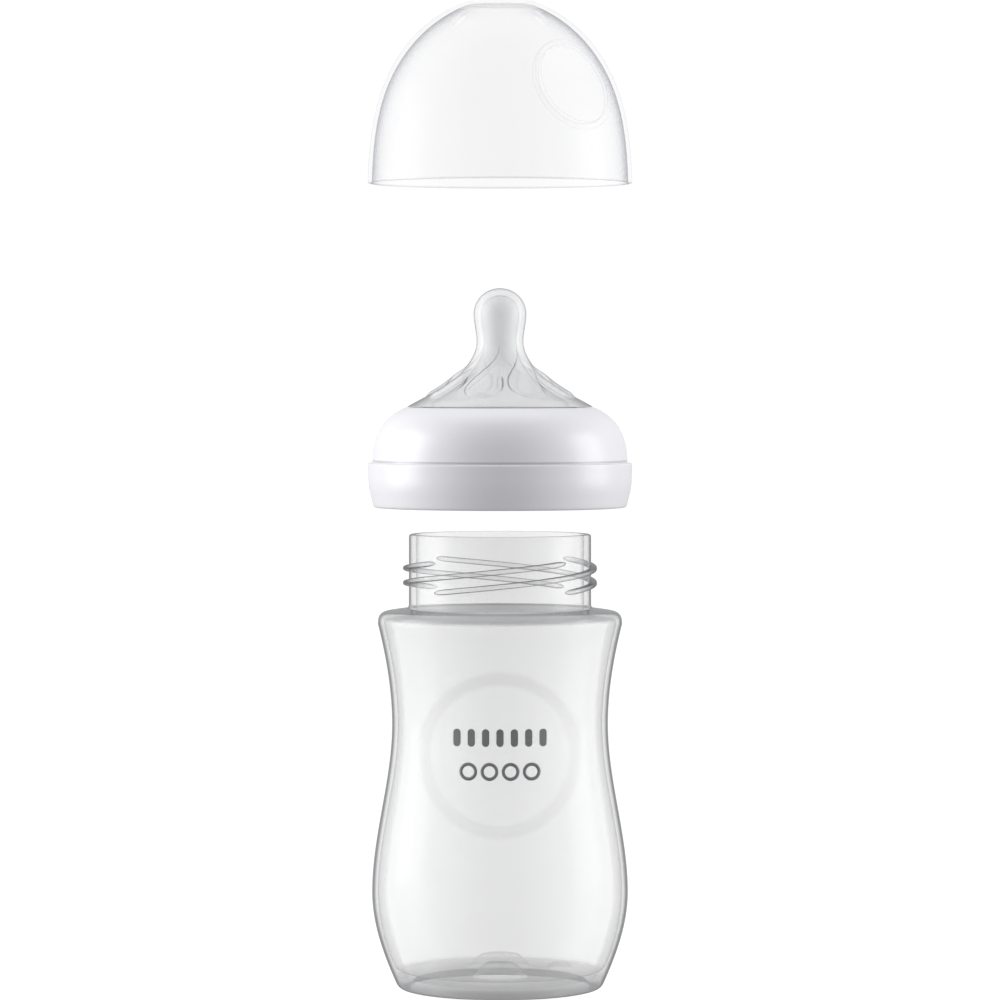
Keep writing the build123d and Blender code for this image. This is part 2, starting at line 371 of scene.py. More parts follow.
class Bench:
    """Adds nodes of any kind to one tree."""

    def __init__(self, tree: bpy.types.NodeTree) -> None:
        """Keeps the tree."""
        self.tree = tree

    def node(self, kind: str, settings: dict | None = None, inputs: dict | None = None) -> bpy.types.Node:
        """Adds a node.

        Args:
            kind: The node's type.
            settings: Its settings, set first; "stops" sets a ramp's stops.
            inputs: Values or links of its sockets, by name or number.

        Returns:
            The node.
        """
        made = self.tree.nodes.new(kind)
        for name, value in (settings or {}).items():
            if name == "stops":
                made.color_ramp.interpolation = "CARDINAL"
                ramp = made.color_ramp.elements
                while len(ramp) < len(value):
                    ramp.new(0.5)
                for stop, (place, colour) in zip(ramp, value):
                    stop.position, stop.color = place, colour
            else:
                setattr(made, name, value)
        for name, value in (inputs or {}).items():
            feed(self.tree, made.inputs[name], value)
        return made

    def wire(self, kind: str, output: str | int = 0, settings: dict | None = None,
             inputs: dict | None = None) -> Wire:
        """Adds a node and gives one of its outputs.

        Args:
            kind: The node's type.
            output: Name or number of the output.
            settings: The node's settings.
            inputs: Values or links of its sockets.

        Returns:
            The output.
        """
        return Wire(self.tree, self.node(kind, settings, inputs).outputs[output])

    def blend(self, amount: Wire | float, low: Colour, high: Colour) -> Wire:
        """Mixes two colours.

        Args:
            amount: 0 for the first and 1 for the second.
            low: First colour.
            high: Second colour.

        Returns:
            The mixed colour.
        """
        made = self.node("ShaderNodeMix", {"data_type": "RGBA"})
        feed(self.tree, made.inputs[0], amount)
        feed(self.tree, made.inputs[6], low)
        feed(self.tree, made.inputs[7], high)
        return Wire(self.tree, made.outputs[2])

    def grain(self, scale: float, detail: float) -> Wire:
        """Soft noise on the piece's own coordinates.

        Args:
            scale: Waves in a metre.
            detail: How much finer noise it has.

        Returns:
            A value about 0.5.
        """
        spot = self.wire("ShaderNodeTexCoord", "Object")
        return self.wire("ShaderNodeTexNoise", 0, None, {"Vector": spot, "Scale": scale, "Detail": detail})

    def facing(self) -> Wire:
        """0 where the surface is seen straight on and 1 where it is seen edge on."""
        return self.wire("ShaderNodeLayerWeight", "Facing", None, {"Blend": 0.5})

    def inner(self) -> Wire:
        """1 on the face of a wall that looks at the axis and 0 on the other."""
        return self.wire("ShaderNodeAttribute", "Fac", {"attribute_name": "inner"})

    def bump(self, strength: float, distance: float, height: Wire) -> Wire:
        """A bumped normal.

        Args:
            strength: How strong the bump is.
            distance: How high it stands, in metres.
            height: Its height, 0 to 1.

        Returns:
            The normal.
        """
        return self.wire("ShaderNodeBump", 0, None,
                         {"Strength": strength, "Distance": distance, "Height": height})

    def place(self) -> tuple[Wire, Wire, Wire]:
        """The piece's own x, y and z, in metres."""
        split = self.node("ShaderNodeSeparateXYZ", None, {0: self.wire("ShaderNodeTexCoord", "Object")})
        return tuple(Wire(self.tree, out) for out in split.outputs)


# ---------------------------------------------------------------- finishes
class Slot(Enum):
    """Four material names; nothing in the script uses them."""

    CLEAR_BOTTLE = "clear_bottle"
    SILICONE = "silicone"
    WHITE_PLASTIC = "white_plastic"
    CLEAR_CAP = "clear_cap"


def new_material(name: str) -> tuple[bpy.types.Material, Bench, bpy.types.Node]:
    """Starts a material with an empty tree.

    Args:
        name: The material's name.

    Returns:
        The material, a bench on its tree and its Principled node, linked to the output.
    """
    material = bpy.data.materials.new(name)
    material.use_nodes = True
    tree = material.node_tree
    tree.nodes.clear()
    bench = Bench(tree)
    shader = bench.node("ShaderNodeBsdfPrincipled")
    bench.node("ShaderNodeOutputMaterial", None, {"Surface": shader.outputs[0]})
    return material, bench, shader


@dataclass(frozen=True)
class ClearPlastic:
    """Clear moulded plastic, thin to look straight through and dense where it is seen edge on."""

    name: str
    face: float
    band: float
    edge: float
    inner_edge: float
    pale: Colour
    dark: Colour
    band_from: float = 0.54
    edge_from: float = 0.74
    edge_full: float = 1.0
    inner_from: float = 0.74
    inner_power: float = 1.3
    roughness: float = 0.16
    ripple: float = 0.05

    def detail(self, bench: Bench) -> Wire | float:
        """How much denser the wall is at its moulded details, 0 to 1."""
        return 0.0

    def clearing(self, bench: Bench) -> Wire | float:
        """How much of the edge density is taken away where the wall lies flat, 0 to 1."""
        return 0.0

    def material(self) -> bpy.types.Material:
        """Builds the material."""
        made, bench, shader = new_material(self.name)
        facing, inner = bench.facing(), bench.inner()
        band = facing.between(self.band_from, self.band_from + 0.08)
        rim = facing.between(self.edge_from, self.edge_full)
        inner_rim = facing.between(self.inner_from, 1.0) ** self.inner_power
        cloud = bench.grain(38.0, 3.0)
        streak = bench.grain(210.0, 2.0)
        outer_edge = self.band * band + (self.edge - self.face - self.band) * rim
        inner_edge = (self.inner_edge - self.face) * inner_rim
        detail = self.detail(bench)
        dense = outer_edge + inner * (inner_edge - outer_edge)
        alpha = self.face + dense * (1 - self.clearing(bench)) + 0.02 * (cloud - 0.5)
        alpha = alpha + detail * (0.9 - alpha)
        feed(bench.tree, shader.inputs["Alpha"], alpha.math("MAXIMUM", 0.02))
        deep = (0.30 * band).math("MAXIMUM", rim) * (1 - inner) + inner * inner_rim
        deep = deep.math("MAXIMUM", detail)
        feed(bench.tree, shader.inputs["Base Color"], bench.blend(deep, self.pale, self.dark))
        feed(bench.tree, shader.inputs["Roughness"], self.roughness + 0.06 * (streak - 0.5))
        feed(bench.tree, shader.inputs["Normal"], bench.bump(self.ripple, 0.6 * MM, cloud))
        shader.inputs["Specular IOR Level"].default_value = 0.35
        return made


@dataclass(frozen=True)
class BottlePlastic(ClearPlastic):
    """The bottle's plastic, denser in its thick heel and on the slope round the medallion, with painted shade
    where that slope faces up or down.
    """

    disc_level: float = 63.9
    disc_inner: float = 17.9
    disc_outer: float = 22.3
    heel_low: float = 1.4
    heel_high: float = 5.6
    heel_density: float = 0.64
    shoulder_low: float = 97.2
    shoulder_top: float = 100.4
    shoulder_density: float = 0.52
    slope_density: float = 0.03
    # Painted shade: extra darkness where the medallion slope faces up or down.
    up_down_shade_density: float = 0.06
    floor_radius: tuple[float, float] = (21.0, 26.0)
    floor_height: tuple[float, float] = (9.0, 12.0)
    floor_clearing: float = 0.50

    def detail(self, bench: Bench) -> Wire | float:
        """How much denser the wall is at its moulded details, 0 to 1, with painted shade where the medallion
        slope faces up or down.
        """
        x, y, z = bench.place()
        rise = z - self.disc_level * MM
        away = (x * x + rise * rise).math("SQRT")
        slope = away.between((self.disc_inner - 0.5) * MM, (self.disc_inner + 1.0) * MM)
        slope = slope * (1 - away.between((self.disc_outer - 1.6) * MM, self.disc_outer * MM))
        # Painted shade: the medallion slope darkens where it faces up or down, away from the side lights.
        up_down_shade = self.slope_density + self.up_down_shade_density * (abs(rise) / (away + 0.1 * MM)) ** 2.0
        front = 1 - y.between(-12 * MM, -8 * MM)
        heel = self.heel_density * (1 - z.between(self.heel_low * MM, self.heel_high * MM))
        low, top = self.shoulder_low * MM, self.shoulder_top * MM
        turn = self.shoulder_density * z.between(low, low + 1.4 * MM)
        turn = turn * (1 - z.between(top - 0.8 * MM, top + 0.8 * MM))
        return (slope * up_down_shade * front).math("MAXIMUM", heel).math("MAXIMUM", turn)

    def clearing(self, bench: Bench) -> Wire | float:
        """How much of the edge density is taken away where the wall lies flat, 0 to 1."""
        x, y, z = bench.place()
        radius = (x * x + y * y).math("SQRT")
        within = 1 - radius.between(*(v * MM for v in self.floor_radius))
        return self.floor_clearing * within * (1 - z.between(*(v * MM for v in self.floor_height)))


@dataclass(frozen=True)
class CapPlastic(ClearPlastic):
    """The cap's plastic, with the two fine lines round its thumb dimple."""

    middle: tuple[float, float, float] = (0.0, 0.0, 0.0)
    aim: tuple[float, float, float] = (1.0, 0.0, 0.0)
    low: float = 0.0
    high: float = 1.0
    line_radii: tuple[float, float] = (11.2, 12.7)
    line_width: float = 0.42
    line_densities: tuple[float, float] = (0.20, 0.12)
    mouth_density: float = 0.22
    crown_clearing: float = 0.72

    def detail(self, bench: Bench) -> Wire | float:
        """How much denser the wall is at its moulded details, 0 to 1."""
        spot = bench.wire("ShaderNodeTexCoord", "Object")
        offset = bench.wire("ShaderNodeVectorMath", 0, {"operation": "SUBTRACT"},
                            {0: spot, 1: tuple(v * MM for v in self.middle)})
        depth = bench.wire("ShaderNodeVectorMath", "Value", {"operation": "DOT_PRODUCT"},
                           {0: offset, 1: self.aim})
        length = bench.wire("ShaderNodeVectorMath", "Value", {"operation": "LENGTH"}, {0: offset})
        away = (length * length - depth * depth).math("MAXIMUM", 0.0).math("SQRT")
        near = depth.between(-12 * MM, -8 * MM)
        lines: Wire | float = 0.0
        for radius, weight in zip(self.line_radii, self.line_densities):
            gap = abs(away - radius * MM)
            lines = weight * (1 - gap.between(0.05 * MM, self.line_width * MM)) + lines
        z = bench.place()[2] / MM
        mouth = self.mouth_density * (1 - z.between(self.low + 0.2, self.low + 0.7))
        return (lines * near).math("MAXIMUM", mouth)

    def clearing(self, bench: Bench) -> Wire | float:
        """How much of the edge density is taken away where the wall lies flat, 0 to 1."""
        z = bench.place()[2] / MM
        return self.crown_clearing * z.between(self.high - 2.6, self.high - 1.6)


@dataclass(frozen=True)
class Silicone:
    """Milky translucent silicone with a satin skin and fine creases between its petals, darkened with painted
    shade.
    """

    lip_level: float
    name: str = "milky_silicone"
    petals: int = 8
    milk: Colour = (0.87, 0.875, 0.885, 1)
    shade: Colour = (0.16, 0.165, 0.175, 1)
    # Painted shade: the dark colour laid into the creases and along the petals' shaded edges.
    crease: Colour = (0.12, 0.12, 0.13, 1)
    crease_top: float = 17.0
    crease_path: tuple[Point, ...] = ((2.2, -22.0), (3.2, -28.0), (4.5, -34.0), (6.4, -36.0), (8.5, -32.0),
                                      (10.3, -23.0), (11.9, -14.0), (13.8, -5.5), (16.2, -2.0))

    def creases(self, bench: Bench) -> Wire:
        """The creases from the neck down round each petal and the petals' shaded edges, for bump and painted
        shade.

        Args:
            bench: The material's bench.

        Returns:
            1 in a crease and 0 away from it.
        """
        x, y, z = bench.place()
        level = (z - self.lip_level * MM) / MM
        radius = (x * x + y * y).math("SQRT")
        azimuth = x.math("ARCTAN2", 0 - y) * (180 / math.pi)
        pitch = 360 / self.petals
        stops = [(height / self.crease_top, ((turn + pitch) / pitch,) * 3 + (1,))
                 for height, turn in self.crease_path]
        path = bench.wire("ShaderNodeValToRGB", 0, {"stops": stops}, {0: level / self.crease_top})
        bend = bench.wire("ShaderNodeSeparateColor", 0, None, {0: path}) * pitch - pitch
        gap = abs((azimuth - bend).math("WRAP", pitch / 2, -pitch / 2)) * radius * (math.pi / 180)
        body = level.between(2.0, 5.0) * (1 - level.between(10.0, 16.6))
        # Painted shade along the long creases, besides their bump.
        long = (1 - gap.between(0.04 * MM, 0.34 * MM)) * (0.25 + 0.75 * body)
        long = long * level.between(1.9, 2.9) * (1 - level.between(15.4, 16.6))
        # Painted shade along the side of each petal turned from the light.
        side = 3.0 - 0.45 * (level - 6.4) ** 2.0
        petal_edge_shade = abs((azimuth - side).math("WRAP", pitch / 2, -pitch / 2)) * radius * (math.pi / 180)
        petal_edge_shade = (1 - petal_edge_shade.between(0.05 * MM, 0.42 * MM)) * level.between(3.8, 5.4)
        petal_edge_shade = petal_edge_shade * (1 - level.between(7.4, 8.4))
        return long.math("MAXIMUM", petal_edge_shade)

    def material(self) -> bpy.types.Material:
        """Builds the material."""
        made, bench, shader = new_material(self.name)
        facing, inner = bench.facing(), bench.inner()
        rim = facing.between(0.50, 0.96)
        cloud = bench.grain(60.0, 3.0)
        skin = bench.grain(1400.0, 2.0)
        # The crease mask gives painted shade: dark colour and near-full alpha in the creases and on the
        # petals' shaded edges.
        crease = self.creases(bench) * (1 - inner)
        alpha = 0.42 - 0.14 * inner + (0.44 + 0.10 * inner) * rim + 0.04 * (cloud - 0.5)
        feed(bench.tree, shader.inputs["Alpha"], alpha.math("MAXIMUM", 0.97 * crease))
        milk = bench.blend(rim ** 1.6, self.milk, self.shade)
        colour = bench.node("ShaderNodeMix", {"data_type": "RGBA"})
        for number, value in ((0, 0.85 * crease), (6, milk), (7, self.crease)):
            feed(bench.tree, colour.inputs[number], value)
        feed(bench.tree, shader.inputs["Base Color"], colour.outputs[2])
        feed(bench.tree, shader.inputs["Roughness"], 0.30 + 0.06 * (skin - 0.5))
        normal = bench.bump(0.22, 0.3 * MM, 0.04 * skin - crease)
        feed(bench.tree, shader.inputs["Normal"], normal)
        shader.inputs["Specular IOR Level"].default_value = 0.5
        return made


@dataclass(frozen=True)
class WhiteGloss:
    """Polished white plastic with a faint orange peel and a line of painted shade along its groove."""

    name: str = "white_gloss"
    body: Colour = (0.80, 0.80, 0.835, 1)
    fleck: Colour = (0.77, 0.77, 0.81, 1)
    groove: float = 0.0

    def material(self) -> bpy.types.Material:
        """Builds the material."""
        made, bench, shader = new_material(self.name)
        cloud = bench.grain(45.0, 3.0)
        peel = bench.grain(620.0, 1.0)
        # Painted shade: the colour is darkened along the groove above the band.
        off = abs(bench.place()[2] - self.groove * MM)
        shade = 1 - 0.40 * (1 - off.between(0.05 * MM, 0.55 * MM))
        body = tuple(v * shade for v in self.body[:3])
        colour = bench.wire("ShaderNodeCombineColor", 0, None, dict(enumerate(body)))
        feed(bench.tree, shader.inputs["Base Color"], bench.blend(0.8 + 0.2 * cloud, self.fleck, colour))
        feed(bench.tree, shader.inputs["Roughness"], 0.41 + 0.08 * (cloud - 0.5))
        feed(bench.tree, shader.inputs["Normal"], bench.bump(0.035, 0.3 * MM, peel))
        shader.inputs["Coat Weight"].default_value = 0.22
        shader.inputs["Coat Roughness"].default_value = 0.24
        return made


@dataclass(frozen=True)
class Ink:
    """Grey printing ink, a little uneven where it was pressed on."""

    name: str = "grey_ink"
    full: Colour = (0.165, 0.17, 0.18, 1)
    thin: Colour = (0.23, 0.235, 0.245, 1)

    def material(self) -> bpy.types.Material:
        """Builds the material."""
        made, bench, shader = new_material(self.name)
        speck = bench.grain(900.0, 4.0)
        feed(bench.tree, shader.inputs["Base Color"], bench.blend(speck, self.full, self.thin))
        feed(bench.tree, shader.inputs["Roughness"], 0.48 + 0.2 * (speck - 0.5))
        return made


def dress(piece: bpy.types.Object, material: bpy.types.Material) -> None:
    """Gives a piece one material."""
    piece.data.materials.clear()
    piece.data.materials.append(material)


def settle(piece: bpy.types.Object, body: str, stands_for: str | None = None) -> bpy.types.Object:
    """Makes a piece ride on a body.

    Args:
        piece: The piece.
        body: The body's name.
        stands_for: The node that it replaces, if any.

    Returns:
        The piece.
    """
    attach(piece, body)
    if stands_for:
        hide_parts(stands_for)
    LOG.info("%s: %d faces on %s", piece.name, len(piece.data.polygons), body)
    return piece


# ---------------------------------------------------------------- repeated pieces
class GeometryTree:
    """A Geometry Nodes tree with named inputs, baked onto a piece."""

    def __init__(self, name: str, inputs: dict[str, str]) -> None:
        """Starts the tree.

        Args:
            name: The tree's name.
            inputs: Type of each input, by name.
        """
        self.tree = bpy.data.node_groups.new(name, "GeometryNodeTree")
        face = self.tree.interface
        face.new_socket("Geometry", in_out="INPUT", socket_type="NodeSocketGeometry")
        for label, kind in inputs.items():
            face.new_socket(label, in_out="INPUT", socket_type=kind)
        face.new_socket("Geometry", in_out="OUTPUT", socket_type="NodeSocketGeometry")
        self.bench = Bench(self.tree)
        self.given = self.tree.nodes.new("NodeGroupInput")
        self.result = self.tree.nodes.new("NodeGroupOutput")

    def input(self, label: str) -> Wire:
        """One of the tree's inputs."""
        return Wire(self.tree, self.given.outputs[label])

    def close(self, geometry: Wire, material: Wire) -> None:
        """Ends the tree in Realize Instances and Set Material."""
        solid = self.bench.wire("GeometryNodeRealizeInstances", 0, None, {"Geometry": geometry})
        painted = self.bench.wire("GeometryNodeSetMaterial", 0, None,
                                  {"Geometry": solid, "Material": material})
        feed(self.tree, self.result.inputs[0], painted)

    def thickened(self, flat: Wire, offset: tuple[float, float, float], depth: Wire | float) -> Wire:
        """Thickens flat faces into closed blocks.

        Args:
            flat: The faces.
            offset: Which way they are thickened.
            depth: How far.

        Returns:
            The blocks.
        """
        wall = self.bench.wire("GeometryNodeExtrudeMesh", 0, None, {
            "Mesh": flat, "Offset": offset, "Offset Scale": depth, "Individual": False})
        back = self.bench.wire("GeometryNodeFlipFaces", 0, None, {"Mesh": flat})
        both = self.bench.node("GeometryNodeJoinGeometry")
        for part in (wall, back):
            self.tree.links.new(part.socket, both.inputs[0])
        return self.bench.wire("GeometryNodeMergeByDistance", 0, None,
                               {"Geometry": both.outputs[0], "Distance": 1e-6})

    def round_axis(self, shape: Wire, count: Wire, first: Wire) -> Wire:
        """Repeats a shape round the upright axis.

        Args:
            shape: The shape.
            count: How many there are.
            first: Angle of the first, in radians.

        Returns:
            The instances.
        """
        points = self.bench.wire("GeometryNodeMeshLine", 0, {"mode": "OFFSET"},
                                 {"Count": count, "Offset": (0.0, 0.0, 0.0)})
        order = self.bench.wire("GeometryNodeInputIndex")
        angle = first + order * (2 * math.pi) / count
        spin = self.bench.wire("ShaderNodeCombineXYZ", 0, None, {"Z": angle})
        spin = self.bench.wire("FunctionNodeEulerToRotation", 0, None, {0: spin})
        return self.bench.wire("GeometryNodeInstanceOnPoints", 0, None,
                               {"Points": points, "Instance": shape, "Rotation": spin})

    def bake(self, name: str, values: dict[str, Feed],
             start: bpy.types.Object | None = None) -> bpy.types.Object:
        """Evaluates the tree once and keeps its result as a plain mesh.

        Args:
            name: The new piece's name.
            values: The inputs' values, by name.
            start: Object whose mesh the tree starts from; an empty one when left out.

        Returns:
            The piece.
        """
        host = start
        if host is None:
            host = bpy.data.objects.new(name + "_host", bpy.data.meshes.new(name + "_host"))
            bpy.context.collection.objects.link(host)
        modifier = host.modifiers.new("tree", "NODES")
        modifier.node_group = self.tree
        for item in self.tree.interface.items_tree:
            if item.item_type == "SOCKET" and item.in_out == "INPUT" and item.name in values:
                modifier[item.identifier] = values[item.name]
        bpy.context.view_layer.update()
        graph = bpy.context.evaluated_depsgraph_get()
        mesh = bpy.data.meshes.new_from_object(host.evaluated_get(graph))
        mesh.name = name
        host.modifiers.remove(modifier)
        bpy.data.objects.remove(host)
        piece = bpy.data.objects.new(name, mesh)
        bpy.context.collection.objects.link(piece)
        return piece


@dataclass
class ThreadRidges:
    """Rounded ridges that climb round a neck or a bore, one for each start of its thread."""

    name: str
    radius: float
    height: float
    width: float
    crest: float
    level: float
    lead: float
    first: float
    starts: int = 4
    wrap: float = 180.0
    embed: float = 0.3
    run_out: float = 0.045

    def tree(self) -> GeometryTree:
        """Builds the tree that winds one ridge and repeats it round the axis."""
        number = "NodeSocketFloat"
        made = GeometryTree("thread_ridges", {
            "Radius": number, "Height": number, "Width": number, "Crest": number, "Embed": number,
            "Level": number, "Lead": number, "Wrap": number, "First": number, "Run Out": number,
            "Starts": "NodeSocketInt", "Material": "NodeSocketMaterial"})
        bench = made.bench
        sheet = bench.node("GeometryNodeMeshGrid", None,
                           {"Size X": 1.0, "Size Y": 1.0, "Vertices X": 145, "Vertices Y": 21})
        place = bench.node("ShaderNodeSeparateXYZ", None,
                           {0: bench.wire("GeometryNodeInputPosition")})
        along = Wire(made.tree, place.outputs[0]) + 0.5
        round_it = (Wire(made.tree, place.outputs[1]) + 0.5) * (2 * math.pi)
        sine, cosine = round_it.math("SINE"), round_it.math("COSINE")
        out = sine.math("SIGN") * abs(sine) ** 0.55
        flat = cosine.math("SIGN") * abs(cosine) ** 0.55
        ends = along.math("MINIMUM", 1 - along) / made.input("Run Out")
        swell = (1 - (1 - ends.math("MINIMUM", 1.0)) ** 2.0).math("MAXIMUM", 0.0) ** 0.5
        high = 0.5 + 0.5 * out
        lift = (made.input("Height") + made.input("Embed")) * high * swell - made.input("Embed")
        half = 0.5 * (made.input("Width") + (made.input("Crest") - made.input("Width")) * high)
        turn = along * made.input("Wrap")
        climb = made.input("Level") + made.input("Lead") * turn / (2 * math.pi) + flat * half * swell
        away = made.input("Radius") + lift
        spot = bench.wire("ShaderNodeCombineXYZ", 0, None, {
            "X": away * turn.math("COSINE"), "Y": away * turn.math("SINE"), "Z": climb})
        ridge = bench.wire("GeometryNodeSetPosition", 0, None,
                           {"Geometry": sheet.outputs[0], "Position": spot})
        ridge = bench.wire("GeometryNodeMergeByDistance", 0, None, {"Geometry": ridge, "Distance": 2e-6})
        ridge = bench.wire("GeometryNodeSetShadeSmooth", 0, None, {"Geometry": ridge})
        many = made.round_axis(ridge, made.input("Starts"), made.input("First"))
        made.close(many, made.input("Material"))
        return made

    def build(self, material: bpy.types.Material) -> bpy.types.Object:
        """Makes the ridges as one plain mesh.

        Args:
            material: What they are made of.

        Returns:
            The piece.
        """
        sink = self.embed if self.height > 0 else -self.embed
        piece = self.tree().bake(self.name, {
            "Radius": self.radius * MM, "Height": self.height * MM, "Width": self.width * MM,
            "Crest": self.crest * MM, "Embed": sink * MM, "Level": self.level * MM, "Lead": self.lead * MM,
            "Wrap": math.radians(self.wrap), "First": math.radians(self.first), "Run Out": self.run_out,
            "Starts": self.starts, "Material": material})
        return face_outwards(piece)


def face_outwards(piece: bpy.types.Object) -> bpy.types.Object:
    """Turns a piece's faces outwards if they point in."""
    mesh = piece.data
    verts = np.zeros(len(mesh.vertices) * 3)
    mesh.vertices.foreach_get("co", verts)
    faces = [tuple(p.vertices) for p in mesh.polygons if len(p.vertices) < 5]
    if signed_volume(verts.reshape(-1, 3), faces) < 0:
        mesh.flip_normals()
    return piece


# ---------------------------------------------------------------- the bottle
@dataclass
class Bottle:
    """Moulded bottle: hourglass body, domed base, threaded neck and the sunk medallion on its front."""

    foot: float = 26.9
    bulge: float = 33.95
    bulge_level: float = 25.5
    waist: float = 28.65
    waist_level: float = 70.0
    shoulder: float = 32.4
    shoulder_level: float = 96.5
    shoulder_top: float = 99.6
    neck: float = 24.2
    neck_root: float = 100.8
    neck_wall: float = 1.9
    rim: float = 120.4
    wall: float = 1.5
    recess: float = 2.2
    floor: float = 4.6
    foot_ring: float = 2.9
    rise: float = 1.0
    dome: float = 8.5
    dome_height: float = 3.4
    pip: float = 3.7
    pip_height: float = 1.5
    pip_offset: float = 16.0
    disc: float = 22.3
    disc_edge: float = 4.4
    disc_depth: float = 0.75
    disc_level: float = 63.9
    segments: int = 216

    def outline(self) -> list[Point]:
        """Section of the wall, from the middle of the base outwards, up to the rim and down inside."""
        line = Outline()
        step = self.dome - 1.2
        line.to(0, self.recess + self.rise + self.dome_height)
        line.to(step - self.dome_height, self.recess + self.rise + self.dome_height, 1.0)
        line.to(step, self.recess + self.rise, 1.2)
        line.to(self.foot - self.foot_ring - self.recess / 2, self.recess, 0.8)
        line.to(self.foot - self.foot_ring, 0.0, 0.6)
        line.through([(self.foot, 0.0), (self.bulge, self.bulge_level)], (0.42, 0.9), (0, 1), 26, (1.5, 0))
        line.through([(self.bulge, self.bulge_level), (self.waist, self.waist_level)], (0, 1), (0, 1), 36)
        line.through([(self.waist, self.waist_level), (self.shoulder, self.shoulder_level)],
                     (0, 1), (0.25, 1), 24)
        line.to(self.shoulder, self.shoulder_top, 2.4)
        line.to(self.neck, self.neck_root, 1.1)
        line.to(self.neck, self.rim, 0.7)
        inner_neck = self.neck - self.neck_wall
        line.to(inner_neck, self.rim, 0.45)
        line.to(inner_neck, self.shoulder_top - 0.9, 0.8)
        inner = self.shoulder - self.wall
        line.to(inner, self.shoulder_top - 1.8, 1.0)
        line.through([(inner, self.shoulder_level), (self.waist - self.wall, self.waist_level)],
                     (-0.25, -1), (0, -1), 24)
        line.through([(self.waist - self.wall, self.waist_level), (self.bulge - self.wall, self.bulge_level)],
                     (0, -1), (0, -1), 36)
        corner = self.foot - self.wall + 0.45 * self.floor
        line.through([(self.bulge - self.wall, self.bulge_level), (corner, self.floor)],
                     (0, -1), (-0.42, -0.9), 26, (0, 2.0))
        line.to(self.dome, self.floor + self.rise * 0.7, 1.2)
        line.to(self.dome - self.dome_height, self.floor + self.rise + self.dome_height, 1.4)
        line.to(0, self.floor + self.rise + self.dome_height)
        return line.rounded(1.45)

    def sink_medallion(self, verts: np.ndarray) -> np.ndarray:
        """Presses the round medallion into the front of both faces of the wall.

        Args:
            verts: The wall's vertices, in metres.

        Returns:
            The moved vertices.
        """
        x, y, z = (verts / MM).T
        away = np.hypot(x, z - self.disc_level)
        radius = np.hypot(x, y)
        press = self.disc_depth * (1 - smooth_step(self.disc - self.disc_edge, self.disc, away))
        press = np.where((y < 0) & (radius > self.neck), press, 0)
        out = verts.copy()
        out[:, 0] -= press * x / np.maximum(radius, 1e-6) * MM
        out[:, 1] -= press * y / np.maximum(radius, 1e-6) * MM
        return out

    def raise_pip(self, verts: np.ndarray) -> np.ndarray:
        """Lifts the small round pip beside the dome on the inner floor.

        Args:
            verts: The wall's vertices, in metres.

        Returns:
            The moved vertices.
        """
        x, y, z = (verts / MM).T
        away = np.hypot(x - self.pip_offset, y)
        inner = (z > self.floor - 0.3) & (z < self.floor + self.rise + 0.2) & (np.hypot(x, y) < self.foot)
        lift = self.pip_height * (1 - smooth_step(self.pip - 1.2, self.pip, away))
        out = verts.copy()
        out[:, 2] += np.where(inner, lift, 0) * MM
        return out

    def build(self) -> list[bpy.types.Object]:
        """Makes the wall and its thread ridges.

        Returns:
            The pieces.
        """
        plastic = BottlePlastic("clear_bottle_plastic", 0.17, 0.17, 0.95, 0.50, (0.87, 0.873, 0.88, 1),
                                (0.16, 0.165, 0.175, 1), band_from=0.50, edge_from=0.68, edge_full=0.86,
                                inner_from=0.60, disc_level=self.disc_level,
                                disc_inner=self.disc - self.disc_edge, disc_outer=self.disc)
        verts, faces = turned(self.outline(), self.segments)
        wall = as_object("bottle_wall", self.raise_pip(self.sink_medallion(verts)), faces)
        dress(wall, plastic.material())
        settle(wall, "bottle", "bottle")
        ridge = ClearPlastic("thread_plastic", 0.10, 0.20, 0.98, 0.98, (0.88, 0.885, 0.89, 1),
                             (0.08, 0.085, 0.095, 1), band_from=0.22, edge_from=0.38, edge_full=0.80,
                             inner_from=0.38, inner_power=1.0)
        thread = ThreadRidges("bottle_thread", self.neck, 1.58, 1.66, 1.1, 105.5, 15.6, 45.0)
        settle(thread.build(ridge.material()), "bottle")
        return [wall]


